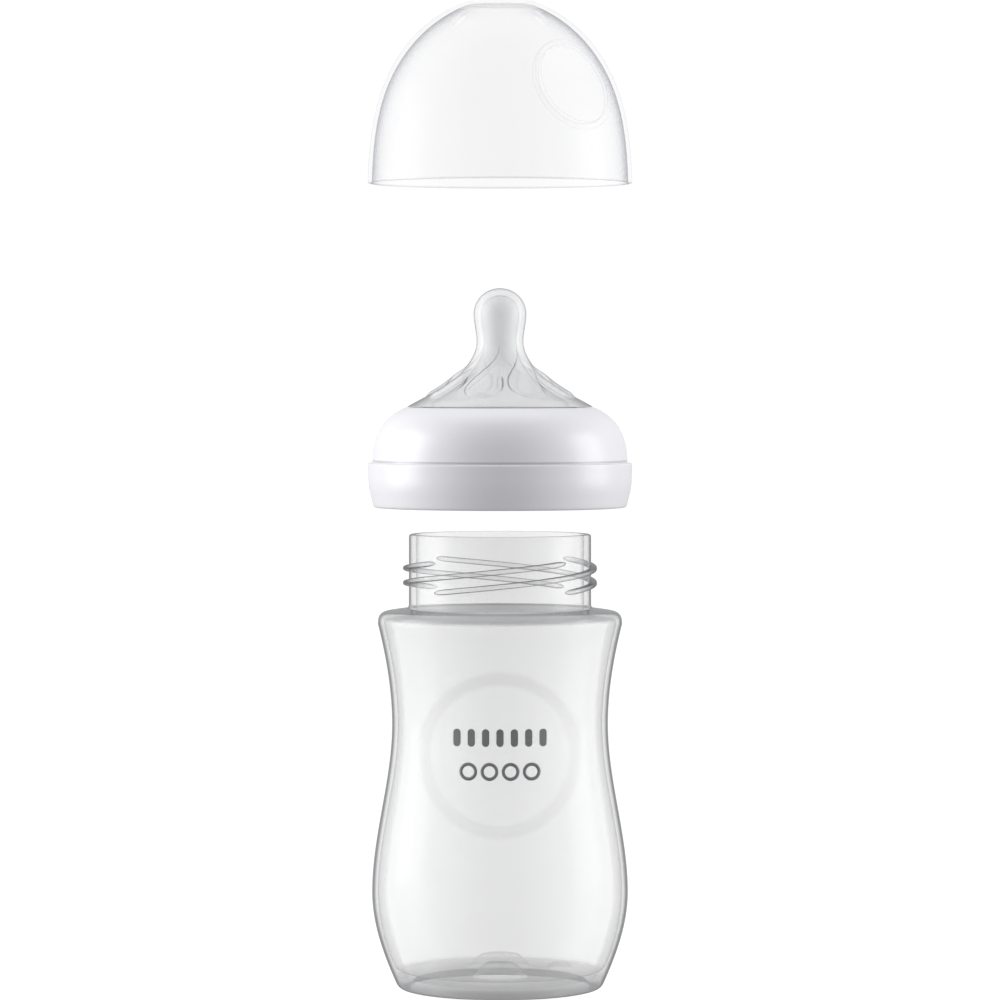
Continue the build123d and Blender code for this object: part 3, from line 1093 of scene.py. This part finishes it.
# ---------------------------------------------------------------- the printed mark
@dataclass
class PrintedMark:
    """Plain printed ornament on the medallion: a row of bars above a row of rings."""

    bars: int = 7
    bar_width: float = 1.9
    bar_height: float = 4.6
    upper_level: float = 68.4
    upper_span: float = 22.4
    rings: int = 4
    ring_size: float = 3.8
    ring_line: float = 0.85
    lower_level: float = 59.7
    lower_span: float = 16.5
    thickness: float = 0.05

    def tree(self) -> GeometryTree:
        """Builds the tree that lays both rows and drops them on the wall."""
        number, count = "NodeSocketFloat", "NodeSocketInt"
        made = GeometryTree("printed_rows", {
            "Bars": count, "Bar Width": number, "Bar Height": number, "Upper Level": number,
            "Upper Span": number, "Rings": count, "Ring Size": number, "Ring Line": number,
            "Lower Level": number, "Lower Span": number, "Thickness": number,
            "Wall": "NodeSocketObject", "Material": "NodeSocketMaterial"})
        bench = made.bench
        bar = bench.wire("GeometryNodeCurvePrimitiveQuadrilateral", 0, None,
                         {"Width": made.input("Bar Width"), "Height": made.input("Bar Height")})
        bar = bench.wire("GeometryNodeFilletCurve", 0, {"mode": "POLY"},
                         {"Curve": bar, "Radius": made.input("Bar Width") * 0.49, "Count": 6})
        bar = bench.wire("GeometryNodeFillCurve", 0, {"mode": "NGONS"}, {"Curve": bar})
        circle = bench.wire("GeometryNodeCurvePrimitiveCircle", 0, None,
                            {"Resolution": 36, "Radius": made.input("Ring Size") / 2})
        line = bench.wire("GeometryNodeCurvePrimitiveLine", 0, None,
                          {"Start": (-0.5, 0, 0), "End": (0.5, 0, 0)})
        line = bench.wire("GeometryNodeTransform", 0, None,
                          {"Geometry": line, "Scale": bench.wire("ShaderNodeCombineXYZ", 0, None, {
                              "X": made.input("Ring Line"), "Y": 1.0, "Z": 1.0})})
        hoop = bench.wire("GeometryNodeCurveToMesh", 0, None, {"Curve": circle, "Profile Curve": line})
        rows = []
        for shape, many, span, level in ((bar, "Bars", "Upper Span", "Upper Level"),
                                         (hoop, "Rings", "Lower Span", "Lower Level")):
            step = made.input(span) / (made.input(many) - 1)
            start = bench.wire("ShaderNodeCombineXYZ", 0, None,
                               {"X": made.input(span) * -0.5, "Y": -0.1, "Z": made.input(level)})
            hop = bench.wire("ShaderNodeCombineXYZ", 0, None, {"X": step})
            dots = bench.wire("GeometryNodeMeshLine", 0, {"mode": "OFFSET"},
                              {"Count": made.input(many), "Start Location": start, "Offset": hop})
            upright = bench.wire("FunctionNodeEulerToRotation", 0, None, {0: (math.pi / 2, 0.0, 0.0)})
            rows.append(bench.wire("GeometryNodeInstanceOnPoints", 0, None,
                                   {"Points": dots, "Instance": shape, "Rotation": upright}))
        joined = bench.node("GeometryNodeJoinGeometry")
        for row in rows:
            made.tree.links.new(row.socket, joined.inputs[0])
        flat = bench.wire("GeometryNodeRealizeInstances", 0, None, {"Geometry": joined.outputs[0]})
        flat = bench.wire("GeometryNodeMergeByDistance", 0, None, {"Geometry": flat, "Distance": 1e-6})
        shut = made.thickened(flat, (0.0, -1.0, 0.0), made.input("Thickness"))
        wall = bench.wire("GeometryNodeObjectInfo", "Geometry", {"transform_space": "ORIGINAL"},
                          {"Object": made.input("Wall")})
        place = bench.wire("GeometryNodeInputPosition")
        hit = bench.node("GeometryNodeRaycast", None, {
            "Target Geometry": wall, "Source Position": place, "Ray Direction": (0.0, 1.0, 0.0),
            "Ray Length": 0.2})
        split = bench.node("ShaderNodeSeparateXYZ", None, {0: place})
        landed = bench.node("ShaderNodeSeparateXYZ", None, {0: hit.outputs["Hit Position"]})
        depth = Wire(made.tree, landed.outputs[1]) + (Wire(made.tree, split.outputs[1]) + 0.1) - 0.00001
        spot = bench.wire("ShaderNodeCombineXYZ", 0, None, {
            "X": split.outputs[0], "Y": depth, "Z": split.outputs[2]})
        laid = bench.wire("GeometryNodeSetPosition", 0, None, {"Geometry": shut, "Position": spot})
        made.close(laid, made.input("Material"))
        return made

    def build(self, wall: bpy.types.Object) -> bpy.types.Object:
        """Prints the mark on the wall.

        Args:
            wall: The bottle's wall.

        Returns:
            The piece.
        """
        piece = self.tree().bake("printed_mark", {
            "Bars": self.bars, "Bar Width": self.bar_width * MM, "Bar Height": self.bar_height * MM,
            "Upper Level": self.upper_level * MM, "Upper Span": self.upper_span * MM, "Rings": self.rings,
            "Ring Size": self.ring_size * MM, "Ring Line": self.ring_line * MM,
            "Lower Level": self.lower_level * MM, "Lower Span": self.lower_span * MM,
            "Thickness": self.thickness * MM, "Wall": wall, "Material": Ink().material()})
        face_outwards(piece)
        return settle(piece, "bottle")


# ---------------------------------------------------------------- the teat
@dataclass
class Teat:
    """Silicone teat: skirt and flange held by the ring, petalled cone and nipple above it."""

    seat: float
    groove: float = 20.1
    lip: float = 24.7
    flange: float = 2.0
    lip_rise: float = 7.3
    skirt_top: float = 26.3
    skirt: float = 27.8
    skirt_drop: float = 4.9
    skirt_wall: float = 1.1
    wall: float = 1.9
    waist: float = 9.7
    waist_rise: float = 9.9
    throat: float = 6.2
    throat_rise: float = 17.4
    bulb: float = 7.0
    bulb_rise: float = 24.7
    tip_rise: float = 31.5
    petals: int = 8
    petal_height: float = 0.85
    segments: int = 288

    def run(self, inset: float) -> list[list[Point]]:
        """Cone, neck and tip as three runs of points, moved in by a wall thickness.

        Args:
            inset: The wall thickness.

        Returns:
            The points each run passes.
        """
        base = self.seat + self.lip_rise
        lip = (self.lip, base - 1.2 * inset)
        waist = (self.waist - 0.9 * inset, base + self.waist_rise - 0.6 * inset)
        throat = (self.throat - inset, base + self.throat_rise)
        bulb = (self.bulb - inset, base + self.bulb_rise)
        tip = (0.0, base + self.tip_rise - inset)
        turn = math.sqrt(0.5)
        brow = (turn * bulb[0], bulb[1] + turn * (tip[1] - bulb[1]))
        return [[lip, waist, throat], [throat, bulb], [bulb, brow, tip]]

    def outline(self) -> list[Point]:
        """Section of the wall, from the tip down outside and back up inside."""
        base = self.seat + self.lip_rise
        outer, inner = self.run(0.0), self.run(self.wall)
        line = Outline()
        line.through(outer[2][::-1], (1, 0), (0, -1), 14)
        line.through(outer[1][::-1], (0, -1), (0, -1), 12)
        line.through(outer[0][::-1], (0, -1), (1, -0.58), 60, (0, 0.25))
        line.to(self.groove, base - 0.2, 0.5)
        line.to(self.groove, self.seat + self.flange, 0.5)
        line.to(self.skirt_top, self.seat + self.flange, 0.8)
        line.to(self.skirt, self.seat - self.skirt_drop, 0.4)
        line.to(self.skirt - self.skirt_wall, self.seat - self.skirt_drop, 0.4)
        line.to(self.skirt_top - self.skirt_wall, self.seat, 0.5)
        line.to(self.groove - self.wall, self.seat, 0.5)
        cone = curve_through(inner[0], (-1, 0.58), (0, 1), 60)
        meet = next(height for radius, height in cone if radius < self.groove - self.wall)
        line.to(self.groove - self.wall, meet - 0.3, 0.4)
        for radius, height in cone:
            if height > meet + 0.3:
                line.to(radius, height)
        line.through(inner[1], (0, 1), (0, 1), 12)
        line.through(inner[2], (0, 1), (-1, 0), 12)
        return line.rounded(0.9)

    def raise_petals(self, verts: np.ndarray) -> np.ndarray:
        """Raises the swirled teardrop petals round the cone.

        Args:
            verts: The wall's vertices, in metres.

        Returns:
            The moved vertices.
        """
        x, y, z = (verts / MM).T
        radius = np.hypot(x, y)
        level = z - (self.seat + self.lip_rise)
        azimuth = np.degrees(np.arctan2(x, -y))
        pitch = 360 / self.petals
        lean = 15.0 * smooth_step(4.0, 11.0, level)
        turn = (azimuth + 16.0 - lean + pitch / 2) % pitch - pitch / 2
        side = np.radians(turn) * radius
        along = np.clip((level - 2.1) / 9.2, 0.001, 0.999)
        half = 4.1 * np.sin(math.pi * along**0.55) ** 0.7
        inside = np.clip(1 - (side / np.maximum(half, 0.05)) ** 2, 0, 1) ** 0.6
        ends = smooth_step(2.1, 3.4, level) * (1 - smooth_step(7.5, 11.2, level))
        outer = (level > 0.3) & (radius > self.throat) & (radius < self.lip)
        cone = np.array(curve_through(self.run(0.0)[0], (-1, 0.58), (0, 1), 60))
        skin = np.interp(level, cone[:, 1] - (self.seat + self.lip_rise), cone[:, 0])
        outer &= radius > skin - 0.6
        lift = np.where(outer, self.petal_height * inside * ends, 0)
        out = verts.copy()
        out[:, 0] += 0.55 * lift * x / np.maximum(radius, 1e-6) * MM
        out[:, 1] += 0.55 * lift * y / np.maximum(radius, 1e-6) * MM
        out[:, 2] += 0.8 * lift * MM
        return out

    def build(self) -> list[bpy.types.Object]:
        """Makes the teat.

        Returns:
            The pieces.
        """
        verts, faces = turned(self.outline(), self.segments)
        wall = as_object("teat_wall", self.raise_petals(verts), faces, 50.0)
        dress(wall, Silicone(self.seat + self.lip_rise).material())
        settle(wall, "teat", "teat")
        return [wall]


# ---------------------------------------------------------------- the ring
@dataclass
class ScrewRing:
    """White screw ring: domed top, knife-edged band and an inner thread."""

    bottom: float
    band: float = 35.1
    band_height: float = 11.8
    taper: float = 1.5
    ledge: float = 33.8
    dome_start: float = 13.4
    dome_top: float = 26.6
    dome_edge: float = 24.9
    hole: float = 20.35
    hole_top: float = 25.0
    bore: float = 26.3
    cavity: float = 28.05
    cavity_floor: float = 14.25
    cavity_top: float = 21.5
    groove_in: float = 28.3
    groove_out: float = 31.7
    groove_top: float = 9.9
    segments: int = 256

    def outline(self) -> list[Point]:
        """Section of the ring, from the edge of its hole outwards, down and back up the bore."""
        base = self.bottom
        line = Outline()
        line.to(self.hole, base + self.hole_top, 0.25)
        line.through([(self.dome_edge, base + self.dome_top), (30.9, base + 22.2),
                      (self.ledge, base + self.dome_start)], (1, -0.42), (0.06, -1), 18, (0.5, 0))
        line.to(self.ledge, base + self.band_height, 0.3)
        line.to(self.band, base + self.band_height, 0.35)
        line.to(self.band - 0.1, base + self.band_height / 2, 2.2)
        line.to(self.band - self.taper, base, 0.8)
        line.to(self.groove_out, base, 0.4)
        line.to(self.groove_out, base + self.groove_top, 0.4)
        line.to(self.groove_in, base + self.groove_top, 0.4)
        line.to(self.groove_in, base, 0.3)
        line.to(self.bore, base, 0.4)
        line.to(self.bore, base + self.cavity_floor, 0.2)
        line.to(self.cavity, base + self.cavity_floor, 0.3)
        line.to(self.bore + 0.25, base + self.cavity_top, 0.3)
        line.to(self.hole, base + self.cavity_top, 0.25)
        return line.rounded(1.1)

    def build(self) -> list[bpy.types.Object]:
        """Makes the ring and its inner thread.

        Returns:
            The pieces.
        """
        white = WhiteGloss(groove=self.bottom + self.band_height + 0.5).material()
        verts, faces = turned(self.outline(), self.segments)
        shell = as_object("ring_shell", verts, faces, 50.0)
        dress(shell, white)
        settle(shell, "ring", "ring")
        level = self.bottom + 2.2
        first = 45.0 + 360 * (level + 15.6 / 8 - 105.5) / 15.6
        thread = ThreadRidges("ring_thread", self.bore, -1.73, 1.46, 0.95, level, 15.6, first)
        settle(thread.build(white), "ring")
        return [shell]


# ---------------------------------------------------------------- the cap
@dataclass
class DomeCap:
    """Clear dome cap with a flat crown, four vent slots and a round thumb dimple."""

    bottom: float
    radius: float = 35.15
    wall: float = 1.1
    height: float = 48.4
    side: Point = (30.8, 26.4)
    high: Point = (19.6, 42.2)
    crown: float = 9.0
    cutter_height: float = 14.0
    recess: float = 7.8
    recess_depth: float = 0.6
    dimple: float = 12.3
    dimple_edge: float = 1.5
    dimple_depth: float = 1.0
    dimple_level: float = 26.0
    dimple_azimuth: float = -48.0
    dimple_tilt: float = 24.0
    slot_length: float = 4.5
    slot_width: float = 1.5
    slot_circle: float = 15.6
    slots: int = 4
    segments: int = 256

    def shell(self, inset: float) -> list[Point]:
        """Rim, side, shoulder and crown points of the dome, moved in by a wall thickness.

        Args:
            inset: The wall thickness.

        Returns:
            The points.
        """
        base = self.bottom
        return [(self.radius - inset, base), (self.side[0] - inset, base + self.side[1] - 0.2 * inset),
                (self.high[0] - 0.75 * inset, base + self.high[1] - 0.75 * inset),
                (self.crown, base + self.height - inset)]

    def outline(self) -> list[Point]:
        """Section of the wall, from the crown down outside and back up inside."""
        top = self.bottom + self.height
        line = Outline()
        line.to(0, top - self.recess_depth)
        line.to(self.recess - 0.5, top - self.recess_depth, 0.5)
        line.to(self.recess, top, 0.3)
        line.through(self.shell(0.0)[::-1], (1, -0.42), (0.03, -1), 34, (0.5, 0.5))
        line.through(self.shell(self.wall), (-0.03, 1), (-1, 0.42), 34, (0.5, 0.5))
        line.to(0, top - self.wall - self.recess_depth)
        return line.rounded(0.9)

    def dimple_axis(self) -> tuple[tuple[float, float, float], tuple[float, float, float]]:
        """The middle of the dimple on the wall, in millimetres, and the way that it faces."""
        turn, tilt = math.radians(self.dimple_azimuth), math.radians(self.dimple_tilt)
        reach = self.side[0]
        middle = (math.cos(turn) * reach, math.sin(turn) * reach, self.bottom + self.dimple_level)
        return middle, (math.cos(turn) * math.cos(tilt), math.sin(turn) * math.cos(tilt), math.sin(tilt))

    def press_dimple(self, verts: np.ndarray) -> np.ndarray:
        """Presses the shallow thumb dimple into both faces of the wall.

        Args:
            verts: The wall's vertices, in metres.

        Returns:
            The moved vertices.
        """
        middle, aim = (np.array(v) for v in self.dimple_axis())
        offset = verts / MM - middle
        depth = offset @ aim
        away = np.linalg.norm(offset - depth[:, None] * aim, axis=1)
        near = depth > -12
        bulge = -(away**2) / (2 * 35.0)
        target = -1.9 - self.dimple_depth + away**2 / 150.0
        press = np.maximum(bulge - target, 0) * (1 - smooth_step(self.dimple - self.dimple_edge,
                                                                 self.dimple + 0.4, away))
        return verts - np.where(near, press, 0)[:, None] * aim * MM

    def tree(self) -> GeometryTree:
        """Builds the tree that cuts the vent slots round the crown."""
        number = "NodeSocketFloat"
        made = GeometryTree("vent_slots", {
            "Length": number, "Width": number, "Circle": number, "Level": number, "Slots": "NodeSocketInt",
            "First": number, "Material": "NodeSocketMaterial"})
        bench = made.bench
        slot = bench.wire("GeometryNodeCurvePrimitiveQuadrilateral", 0, None,
                          {"Width": made.input("Length"), "Height": made.input("Width")})
        slot = bench.wire("GeometryNodeFilletCurve", 0, {"mode": "POLY"},
                          {"Curve": slot, "Radius": made.input("Width") * 0.48, "Count": 5})
        slot = bench.wire("GeometryNodeFillCurve", 0, {"mode": "NGONS"}, {"Curve": slot})
        block = made.thickened(slot, (0.0, 0.0, 1.0), self.cutter_height * MM)
        place = bench.wire("ShaderNodeCombineXYZ", 0, None,
                           {"X": made.input("Circle"), "Z": made.input("Level")})
        block = bench.wire("GeometryNodeTransform", 0, None, {"Geometry": block, "Translation": place})
        many = made.round_axis(block, made.input("Slots"), made.input("First"))
        many = bench.wire("GeometryNodeRealizeInstances", 0, None, {"Geometry": many})
        cut = bench.node("GeometryNodeMeshBoolean", {"operation": "DIFFERENCE", "solver": "EXACT"})
        feed(made.tree, cut.inputs["Mesh 1"], made.input("Geometry"))
        made.tree.links.new(many.socket, cut.inputs["Mesh 2"])
        made.close(Wire(made.tree, cut.outputs[0]), made.input("Material"))
        return made

    def build(self) -> list[bpy.types.Object]:
        """Makes the cap.

        Returns:
            The pieces.
        """
        middle, aim = self.dimple_axis()
        plastic = CapPlastic("clear_cap_plastic", 0.060, 0.04, 0.30, 0.86, (0.78, 0.785, 0.82, 1),
                             (0.30, 0.305, 0.33, 1), band_from=0.60, edge_from=0.86, inner_from=0.26,
                             inner_power=2.4, roughness=0.24, ripple=0.0, middle=middle, aim=aim,
                             low=self.bottom, high=self.bottom + self.height)
        verts, faces = turned(self.outline(), self.segments)
        whole = as_object("cap_blank", self.press_dimple(verts), faces, 50.0)
        piece = self.tree().bake("cap_dome", {
            "Length": self.slot_length * MM, "Width": self.slot_width * MM, "Circle": self.slot_circle * MM,
            "Level": (self.bottom + self.height - 9.0) * MM, "Slots": self.slots, "First": math.radians(45.0),
            "Material": plastic.material()}, whole)
        settle(piece, "cap", "cap")
        return [piece]


# ---------------------------------------------------------------- the studio
@dataclass
class Studio:
    """White floor and surround, two tall soft lights, and the camera."""

    reach: float = 6.0
    distance: float = 1.225
    eye: float = 0.1645
    lens: float = 166.0
    drop: float = -0.132
    floor_level: float = -0.0006

    def floor(self) -> None:
        """Lays the white floor."""
        mesh = bpy.data.meshes.new("studio_floor")
        r = self.reach
        mesh.from_pydata([(-r, -r, 0), (r, -r, 0), (r, r, 0), (-r, r, 0)], [], [(0, 1, 2, 3)])
        mesh.transform(Matrix.Translation((0, 0, self.floor_level)))
        floor = bpy.data.objects.new("studio_floor", mesh)
        bpy.context.collection.objects.link(floor)
        made, bench, shader = new_material("floor_white")
        shader.inputs["Base Color"].default_value = (0.04, 0.04, 0.04, 1)
        shader.inputs["Roughness"].default_value = 0.9
        shader.inputs["Emission Color"].default_value = (1, 1, 1, 1)
        looked_at = bench.wire("ShaderNodeLightPath", "Is Camera Ray")
        feed(bench.tree, shader.inputs["Emission Strength"], 0.35 + 0.65 * looked_at)
        dress(floor, made)

    def surround(self) -> None:
        """Makes the surround white to look at and softly grey to light by."""
        world = bpy.data.worlds.new("studio_surround")
        bpy.context.scene.world = world
        world.use_nodes = True
        world.node_tree.nodes.clear()
        bench = Bench(world.node_tree)
        looked_at = bench.wire("ShaderNodeLightPath", "Is Camera Ray")
        strength = 0.54 + 0.48 * looked_at
        glow = bench.node("ShaderNodeBackground", None, {"Color": (1, 1, 1, 1), "Strength": strength})
        bench.node("ShaderNodeOutputWorld", None, {"Surface": glow.outputs[0]})

    def light(self, name: str, place: tuple[float, float, float], size: tuple[float, float],
              power: float) -> None:
        """Hangs one soft light, aimed at the middle of the object.

        Args:
            name: The light's name.
            place: Where it hangs.
            size: Width and height of its face.
            power: Its power in watts.
        """
        lamp = bpy.data.lights.new(name, "AREA")
        lamp.shape = "RECTANGLE"
        lamp.size, lamp.size_y = size
        lamp.energy = power
        thing = bpy.data.objects.new(name, lamp)
        thing.location = place
        thing.rotation_euler = (Vector((0, 0, 0.13)) - Vector(place)).to_track_quat("-Z", "Y").to_euler()
        bpy.context.collection.objects.link(thing)

    def camera(self) -> None:
        """Sets the camera up level, in front of the object."""
        data = bpy.data.cameras.new("studio_camera")
        data.lens = self.lens
        data.sensor_width = 36.0
        data.shift_y = self.drop
        thing = bpy.data.objects.new("studio_camera", data)
        thing.location = (0.0, -self.distance, self.eye)
        thing.rotation_euler = (math.pi / 2, 0, 0)
        bpy.context.collection.objects.link(thing)
        bpy.context.scene.camera = thing

    def build(self) -> None:
        """Makes the whole studio."""
        self.floor()
        self.surround()
        self.light("left_softbox", (-0.80, 0.02, 0.20), (0.5, 0.9), 8.4)
        self.light("right_softbox", (0.80, -0.02, 0.20), (0.45, 0.9), 6.2)
        self.light("top_softbox", (0.0, 0.20, 0.95), (0.6, 0.6), 1.9)
        self.camera()
        bpy.context.scene.view_settings.view_transform = "Standard"
        LOG.info("studio ready")


def main() -> None:
    """Builds every piece in order."""
    logging.basicConfig(level=logging.INFO, format="%(name)s: %(message)s")
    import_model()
    Studio().build()
    wall = Bottle().build()[0]
    PrintedMark().build(wall)
    teat_low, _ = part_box("teat")
    Teat(seat=teat_low.z / MM + 4.9).build()
    ring_low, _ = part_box("ring")
    ScrewRing(bottom=ring_low.z / MM).build()
    cap_low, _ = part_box("cap")
    DomeCap(bottom=cap_low.z / MM).build()


if __name__ == "__main__":
    main()
